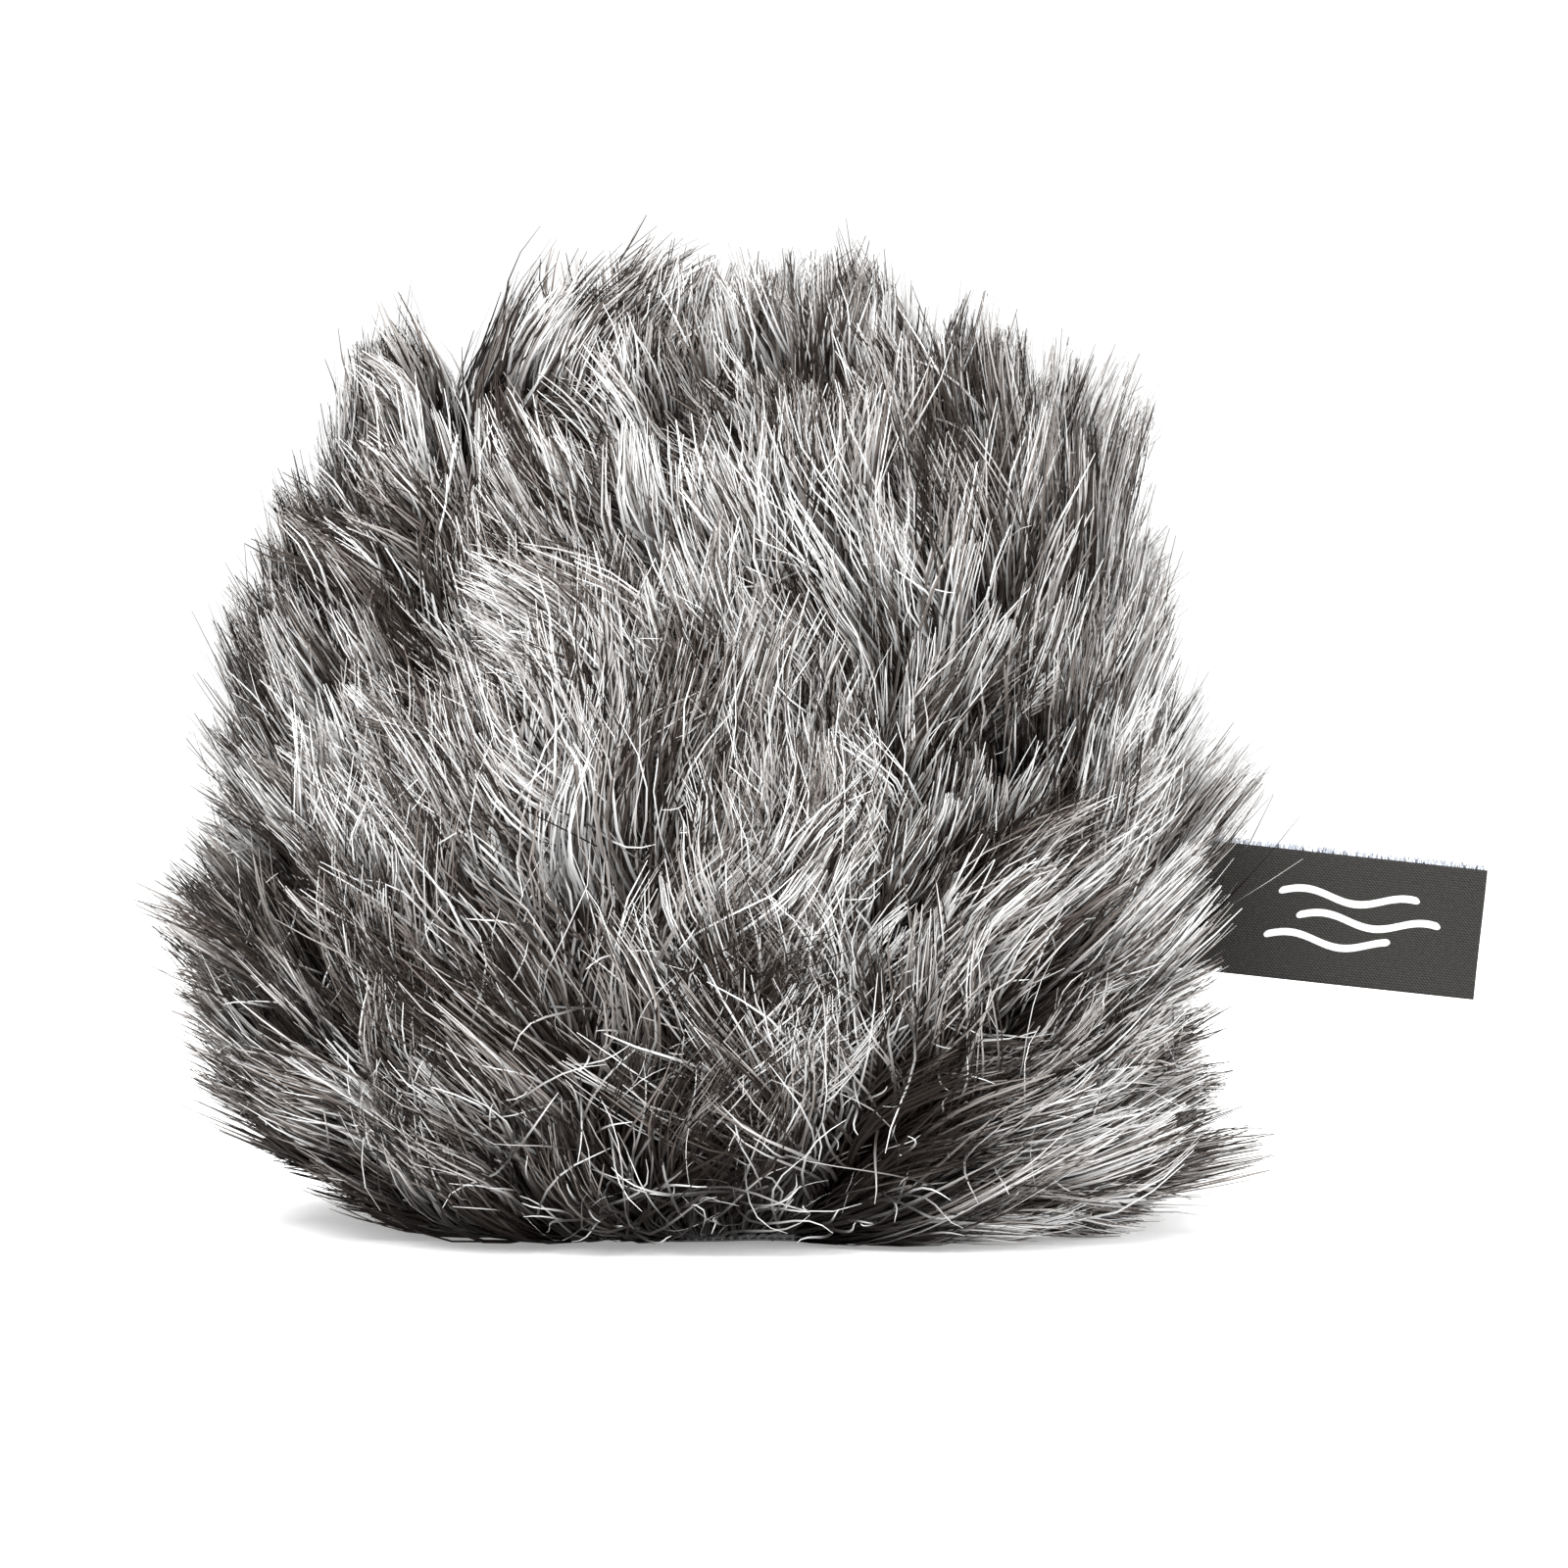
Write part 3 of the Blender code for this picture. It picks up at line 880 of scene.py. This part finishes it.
def wall_grid(side, base, depth):
    """Points of a front (side 1) or back (side -1) wall between the side seams, and their cloth UV."""
    columns, rows = 96, 48
    first = math.pi if side > 0 else 0.0
    seam = (SIDE_SEAM_HALF_GAP / HALF_DEPTH) ** (PLAN_POWER / 2.0)
    turn = np.linspace(first + seam, first + math.pi - seam, columns)
    low = math.asin((base / (HEIGHT - depth)) ** (DOME_POWER / 2.0))
    climb = np.linspace(low**0.6, SEAM_CLIMB**0.6, rows) ** (1.0 / 0.6)
    points = dome_points(turn, climb[:, None], depth)
    across = arc_lengths(points[rows // 2])
    along = arc_lengths(points[:, columns // 2])
    return points, grid_uv(across, along[:, None])


def crown_grid(depth):
    """Points of the cap from the crown seam to the apex, round the whole oval, and their cloth UV."""
    turn = np.linspace(0.0, math.tau, 120, endpoint=False)
    climb = np.linspace(SEAM_CLIMB + 0.008, math.pi / 2.0 - 0.004, 30)
    points = dome_points(turn, climb[:, None], depth)
    return points, points[:, :, :2]


def roughened(points, waves, height):
    """Moves points a little by a random field, as cloth and foam are never quite even."""
    return points + waves(points.reshape(-1, 3)).reshape(points.shape) * height


def layer_grids(base, depth):
    """The three panels of one layer, as (name, points, uv, closed round)."""
    return (
        ("front", *wall_grid(1, base, depth), False),
        ("back", *wall_grid(-1, base, depth), False),
        ("crown", *crown_grid(depth), True),
    )


def make_backing():
    """Knitted backing that the pile is rooted in: three stretched panels."""
    material = knit_material()
    ease = Waves(31, 9.0 * MM)
    for panel, points, uv, closed in layer_grids(BACKING_BASE, BACKING_DEPTH):
        obj = grid_mesh(f"fur_backing_{panel}", roughened(points, ease, 0.08 * MM), uv, closed)
        thicken(obj, BACKING_THICK)
        dress(obj, material, f"fur_{panel}_panel")


def make_lining():
    """Mesh lining against the microphones: three stretched panels."""
    material = net_material()
    ease = Waves(32, 12.0 * MM)
    for panel, points, uv, closed in layer_grids(LINER_BASE, LINING_DEPTH):
        obj = grid_mesh(f"mesh_lining_{panel}", roughened(points, ease, 0.12 * MM), uv, closed)
        thicken(obj, LINING_THICK)
        dress(obj, material, f"lining_{panel}_panel")


def rounded_rim(outer, inner, row, neighbour):
    """Rows that round an end row of a pad over, from its outer face to its inner one."""
    middle = (outer[row] + inner[row]) / 2.0
    half = (outer[row] - inner[row]) / 2.0
    out = unit(outer[row] - outer[neighbour]) * np.linalg.norm(half, axis=-1, keepdims=True) * 0.55
    turns = np.linspace(0.0, math.pi, 7)[1:-1]
    return [middle + half * math.cos(a) * 0.97 + out * (math.sin(a) - 1.0) for a in turns]


def make_foam():
    """Open-cell foam liner: three pads with rounded rims."""
    material = foam_material()
    cells = Waves(33, 3.0 * MM)
    base = LINER_BASE + 0.2 * MM
    faces = zip(layer_grids(base, FOAM_OUTER), layer_grids(base, FOAM_INNER))
    for (panel, outer, _, closed), (_, inner, _, _) in faces:
        bottom = rounded_rim(outer, inner, 0, 1)[::-1]
        top = [] if closed else rounded_rim(outer, inner, -1, -2)
        shell = np.stack([*bottom, *outer, *top, *inner[::-1], bottom[0]])
        shell_uv = np.zeros_like(shell[:, :, :2])
        obj = grid_mesh(f"foam_liner_{panel}", roughened(shell, cells, 0.10 * MM), shell_uv, closed)
        close_seams(obj)
        dress(obj, material, f"foam_{panel}_panel")


def close_seams(obj):
    """Merges the ends of a grid that meet and fills what is left open."""
    bm = bmesh.new()
    bm.from_mesh(obj.data)
    bmesh.ops.remove_doubles(bm, verts=bm.verts, dist=0.02 * MM)
    bmesh.ops.holes_fill(bm, edges=[edge for edge in bm.edges if edge.is_boundary])
    bmesh.ops.triangulate(bm, faces=[face for face in bm.faces if len(face.verts) > 4])
    bmesh.ops.recalc_face_normals(bm, faces=bm.faces)
    bm.to_mesh(obj.data)
    bm.free()


def mouth_oval(turn, radius):
    """Points of the oval mouth, as arrays of x and y."""
    x, y = plan_oval(turn)
    return x * radius, y * (radius - (HALF_WIDTH - HALF_DEPTH))


def make_hem():
    """Binding gathered round the elastic: folded up on both sides, ruffled, pinched at its stitching."""
    rng = np.random.default_rng(41)
    columns = 1040
    turn = np.linspace(0.0, math.tau, columns, endpoint=False)
    middle = CASING_HIGH.x - CASING_HALF
    wander = np.zeros(columns)
    for rate in (2, 3, 5, 7, 11):
        wander += rng.uniform(0.3, 1.0) * np.sin(rate * turn + rng.uniform(0.0, 6.3))
    ruffle = np.sin(HEM_PLEATS * turn + 0.8 * wander)
    depth = 0.34 * MM * (1.0 + 0.45 * np.sin(9.0 * turn + wander))
    # Its section as (side, share of the height), from the outer top round the fold to the inner top.
    fold_level = 0.07
    steps = np.linspace(0.0, 1.0, 15)
    section = [(1.0, 1.0 - (1.0 - fold_level) * t) for t in steps]
    for a in np.linspace(0.0, math.pi, 9)[1:-1]:
        section.append((math.cos(a), fold_level - 0.05 * math.sin(a)))
    section += [(-1.0, fold_level + (1.0 - fold_level) * t) for t in steps]
    rows = []
    for side, level in section:
        apart = (CASING_HALF - CASING_INSET) * (1.0 - 0.45 * bump(level, STITCH_LEVEL, 0.10))
        swell = 1.0 - 0.55 * bump(level, STITCH_LEVEL, 0.12)
        radius = middle + side * apart + np.sign(side) * ruffle * depth * swell
        x, y = mouth_oval(turn, radius)
        z = HEM_BASE + level * HEM_HEIGHT + 0.12 * MM * ruffle * (level > 0.9)
        rows.append(np.stack([x, y, z], axis=-1))
    points = np.stack(rows)
    flat_length = math.tau * middle * GATHER
    across = np.linspace(0.0, flat_length, columns, endpoint=False)
    along = arc_lengths(points[:, 0])
    obj = grid_mesh("gathered_hem", points, grid_uv(across, along[:, None]), True)
    thicken(obj, CASING_THICK)
    dark, light = (0.003, 0.003, 0.0035), (0.018, 0.018, 0.020)
    material = weave_material("black_binding", dark, light, 0.5 * MM, 0.8, 0.08)
    dress(obj, material, "hem_casing")
    stitches = make_stitches(middle, HEM_BASE + STITCH_LEVEL * HEM_HEIGHT)


def make_stitches(middle, level):
    """Lockstitches through the binding above the elastic, on its inner and outer face."""
    bm = bmesh.new()
    pitch = math.tau / STITCH_COUNT
    face = (CASING_HALF - CASING_INSET) * 0.55 + CASING_THICK / 2.0
    lift = np.array([-0.15, 0.22, -0.15]) * MM
    for side in (-1.0, 1.0):
        for number in range(STITCH_COUNT):
            turns = (number + np.array([-0.36, 0.0, 0.36])) * pitch
            x, y = mouth_oval(turns, middle + side * (face + lift))
            path = np.stack([x, y, np.full(3, level)], axis=-1)
            stitch(bm, path, 0.17 * MM)
    obj = placed_bmesh("hem_stitches", bm)
    dark, light = (0.008, 0.008, 0.009), (0.050, 0.050, 0.054)
    material = thread_material("black_sewing_thread", dark, light, 0.22 * MM)
    return dress(obj, material, "hem_seam_thread")


def stitch(bm, path, radius):
    """One stitch: a short six-sided thread that dips into the cloth at both ends."""
    first, crest, last = path
    upward = np.array([0.0, 0.0, 1.0])
    outward = np.cross(unit(last - first), upward)
    over = 2.0 * crest - (first + last) / 2.0
    spokes = [upward * math.cos(a) + outward * math.sin(a) for a in np.arange(6) * math.pi / 3.0]
    rings = []
    for t in np.linspace(0.0, 1.0, 7):
        centre = (1.0 - t) ** 2 * first + 2.0 * t * (1.0 - t) * over + t**2 * last
        size = radius * (0.35 + 0.65 * math.sin(math.pi * (0.12 + 0.76 * t)))
        rings.append([bm.verts.new(centre + spoke * size) for spoke in spokes])
    bridge(bm, rings, closed=True)
    bm.faces.new(rings[0][::-1])
    bm.faces.new(rings[-1])


# ---- label


def on_label(along, out, up):
    """Frame points from places on the label: along from the hinge, out to its front, up its width."""
    hinge = np.array(LABEL_JOINT["pos_m"])
    upward = unit(np.array(LABEL_JOINT["axis"]))
    front = np.array([0.0, -1.0, 0.0])
    onward = np.cross(upward, front)
    along, out, up = np.broadcast_arrays(along, out, up)
    return hinge + along[..., None] * onward + out[..., None] * front + up[..., None] * upward


def label_ease(along, up):
    """How far the free label waves out of its plane at a place."""
    free = smooth(along, 2.0 * MM, 20.0 * MM)
    roll = 0.35 * MM * np.sin(along / (9.0 * MM) + 60.0 * up)
    cup = 0.12 * MM * np.sin(up / (2.6 * MM))
    return free * (roll + cup)


def label_half_gap(along):
    """Half the gap between the plies' middles: pressed together in the seam, a little open beyond it."""
    return 0.14 * MM + 0.20 * MM * smooth(along, -0.5 * MM, 6.0 * MM)


def finish_on_label(obj, material):
    """Gives a piece of the label its material and bakes its place into its mesh."""
    obj.data.materials.append(material)
    start = on_label(-1.6 * MM, 0.0, 0.0)
    end = on_label(2.2 * MM, 0.0, 0.0)
    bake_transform(obj)
    return obj


def make_label():
    """Woven loop label: one strip from the seam out to its fold and back, with its motif and edge."""
    half_width = LABEL_WIDTH / 2.0
    up = np.linspace(-half_width, half_width, 49)
    fold = LABEL_END - 0.55 * MM
    spans = ((LABEL_TAIL, -2.2 * MM, 16), (-2.0 * MM, 3.0 * MM, 26), (3.3 * MM, fold, 86))
    run = np.concatenate([np.linspace(*span) for span in spans])
    turn = np.linspace(0.0, math.pi, 9)[1:-1]
    fold_gap = label_half_gap(fold)
    along = np.concatenate([run, fold + np.sin(turn) * fold_gap * 1.1, run[::-1]])
    out = np.concatenate([label_half_gap(run), np.cos(turn) * fold_gap, -label_half_gap(run[::-1])])
    thin = 1.0 - 0.25 * bump(np.abs(up), half_width, 0.4 * MM)
    ease = label_ease(along[:, None], up)
    points = on_label(along[:, None], out[:, None] * thin + ease, up)
    along_cloth = arc_lengths(points[:, 24])
    obj = grid_mesh("woven_label", points, grid_uv(along_cloth[:, None], up))
    thicken(obj, LABEL_PLY)
    finish_on_label(obj, twill_material())
    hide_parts("label_loop", "label_tail")
    details = [make_motif(), make_picks()]


def make_motif():
    """Three wavy lines of satin stitch on the label's front, a plain sign for wind."""
    bm = bmesh.new()
    half = MOTIF_HALF_WIDTH
    for first, last, level in MOTIF_LINES:
        along = np.linspace(first, last, 120)
        taper = np.sqrt(np.clip(np.minimum(along - first, last - along) / half, 0.0, 1.0))
        wave = level + 0.62 * MM * np.sin((along - first) / (0.95 * MM * 2.0))
        rows = []
        for across, lift in ((-1.0, 0.00), (-0.7, 0.07), (0.0, 0.10), (0.7, 0.07), (1.0, 0.00)):
            up = wave + across * half * (0.25 + 0.75 * taper)
            face = label_half_gap(along) + LABEL_PLY / 2.0 + 0.01 * MM + lift * MM
            rows.append(on_label(along, face + label_ease(along, up), up))
        bridge(bm, [[bm.verts.new(point) for point in row] for row in rows])
    satin = thread_material("white_satin_thread", (0.62,) * 3, (0.93,) * 3, 0.20 * MM, 0.45)
    return finish_on_label(placed_bmesh("label_wave_motif", bm), satin)


def make_picks():
    """Pale weft ends that show as a fuzzy line along the label's upper edge."""
    rng = np.random.default_rng(43)
    along = np.sort(rng.uniform(1.0 * MM, LABEL_END - 0.4 * MM, PICKS))
    side = np.where(rng.random(PICKS) < 0.5, 1.0, -1.0)
    length = rng.uniform(0.35, 0.85, PICKS) * MM
    slant = rng.uniform(-0.5, 0.5, PICKS)
    top = LABEL_WIDTH / 2.0 - 0.10 * MM
    out = side[:, None] * label_half_gap(along)[:, None] * (1.0 - 0.8 * ALONG_HAIR)
    up = top + length[:, None] * np.sin(ALONG_HAIR * 1.4)
    run = along[:, None] + slant[:, None] * length[:, None] * ALONG_HAIR**2
    paths = on_label(run, out + label_ease(run, np.full_like(run, top)), up)
    normals = side[:, None] * np.array([0.0, -1.0, 0.0])
    shades = rng.uniform(0.3, 1.0, PICKS)
    obj = strand_mesh("label_edge_picks", paths, normals, shades, np.full(PICKS, 0.20 * MM), rng)
    nodes = Nodes("pale_weft_picks", {"Roughness": 0.7})
    nodes.paint(nodes.axes("OFBake")[0], (0.3, (0.22, 0.24, 0.28)), (1.0, (0.62, 0.66, 0.74)))
    return finish_on_label(obj, nodes.material)


# ---- nodes that stay, the pile's pieces and the stage


def finish_carried():
    """Better materials for the CAD nodes that stay: the elastic and the seam threads."""
    dark, light = (0.008, 0.008, 0.009), (0.045, 0.045, 0.05)
    elastic = weave_material("black_braided_elastic", dark, light, 0.7 * MM, 0.6, 0.1)
    thread = thread_material("black_seam_thread", (0.006, 0.006, 0.007), (0.040, 0.040, 0.043), 0.25 * MM)
    for name, node in frame["nodes"].items():
        if name == "mouth_elastic" or "seam_thread" in name:
            node.data.materials.clear()
            node.data.materials.append(elastic if name == "mouth_elastic" else thread)


def make_pile(material):
    """The fur itself, as lists of pieces by panel, each piece a band from left to right."""
    rng = np.random.default_rng(7)
    locks = make_locks(rng)
    paths, normals, shades = make_strands(rng, make_wisps(rng, locks))
    widths = STRAND_WIDTH * rng.uniform(0.7, 1.15, len(paths))
    stray_paths, stray_normals = make_strays(rng)
    strays = len(stray_paths)
    paths = off_floor(np.concatenate([paths, stray_paths]))
    normals = np.concatenate([normals, stray_normals])
    shades = np.concatenate([shades, rng.uniform(0.60, 1.0, strays)])
    widths = np.concatenate([widths, np.full(strays, STRAY_WIDTH)])

    roots = paths[:, 0]
    on_crown = roots[:, 2] > SEAM_HEIGHT - PILE * 0.85
    panels = {
        "crown": np.flatnonzero(on_crown),
        "front": np.flatnonzero(~on_crown & (roots[:, 1] < 0.0)),
        "back": np.flatnonzero(~on_crown & (roots[:, 1] >= 0.0)),
    }
    pieces = {}
    for panel, members in panels.items():
        parts = math.ceil(len(members) / STRANDS_PER_PIECE)
        order = members[np.argsort(roots[members, 0], kind="stable")]
        pieces[panel] = []
        for number, chosen in enumerate(np.array_split(order, parts), start=1):
            name = f"fur_pile_{panel}_{number}"
            obj = strand_mesh(name, paths[chosen], normals[chosen], shades[chosen], widths[chosen], rng)
            pieces[panel].append(dress(obj, material, f"fur_{panel}_panel"))
    return pieces


def make_stage():
    """A pale floor, soft studio light and the camera."""
    mesh = bpy.data.meshes.new("floor")
    half = 14.0
    corners = [(-half, -half, 0), (half, -half, 0), (half, half, 0), (-half, half, 0)]
    mesh.from_pydata(corners, [], [(0, 1, 2, 3)])
    floor = placed("floor", mesh)
    pale = {"Roughness": 0.9, "Base Color": (0.96, 0.96, 0.96, 1.0)}
    glow = {"Emission Color": (1.0, 1.0, 1.0, 1.0), "Emission Strength": 0.3}
    mesh.materials.append(Nodes("pale_floor", pale | glow).material)

    scene = bpy.context.scene
    scene.world = bpy.data.worlds.new("studio")
    scene.world.use_nodes = True
    backdrop = scene.world.node_tree.nodes["Background"]
    backdrop.inputs["Color"].default_value = (1.0, 1.0, 1.0, 1.0)
    backdrop.inputs["Strength"].default_value = 1.08

    # Name, place and size in metres, and power in watts.
    lights = (
        ("key", (-0.25, -0.55, 0.75), 0.5, 12.0),
        ("fill", (0.7, -0.5, 0.4), 0.5, 3.0),
        ("back", (0.1, 0.7, 0.6), 0.6, 3.5),
    )
    middle = Vector((0.0, 0.0, 0.05))
    for name, place, size, power in lights:
        lamp = bpy.data.lights.new(name, "AREA")
        lamp.size = size
        lamp.energy = power
        obj = placed(name, lamp)
        obj.location = place
        obj.rotation_euler = (middle - Vector(place)).to_track_quat("-Z", "Y").to_euler()

    camera = bpy.data.cameras.new("camera")
    camera.lens = 100.0
    camera.sensor_width = 36.0
    view = placed("camera", camera)
    tilt = math.radians(CAMERA_TILT)
    view.location = CAMERA_AIM + Vector((0.0, -math.cos(tilt), math.sin(tilt))) * CAMERA_DISTANCE
    view.rotation_euler = (math.radians(90.0) - tilt, 0.0, 0.0)
    scene.camera = view
    scene.view_settings.view_transform = "Standard"


make_stage()
pile_pieces = make_pile(fur_material())
make_foam()
make_backing()
make_lining()
make_hem()
make_label()
finish_carried()
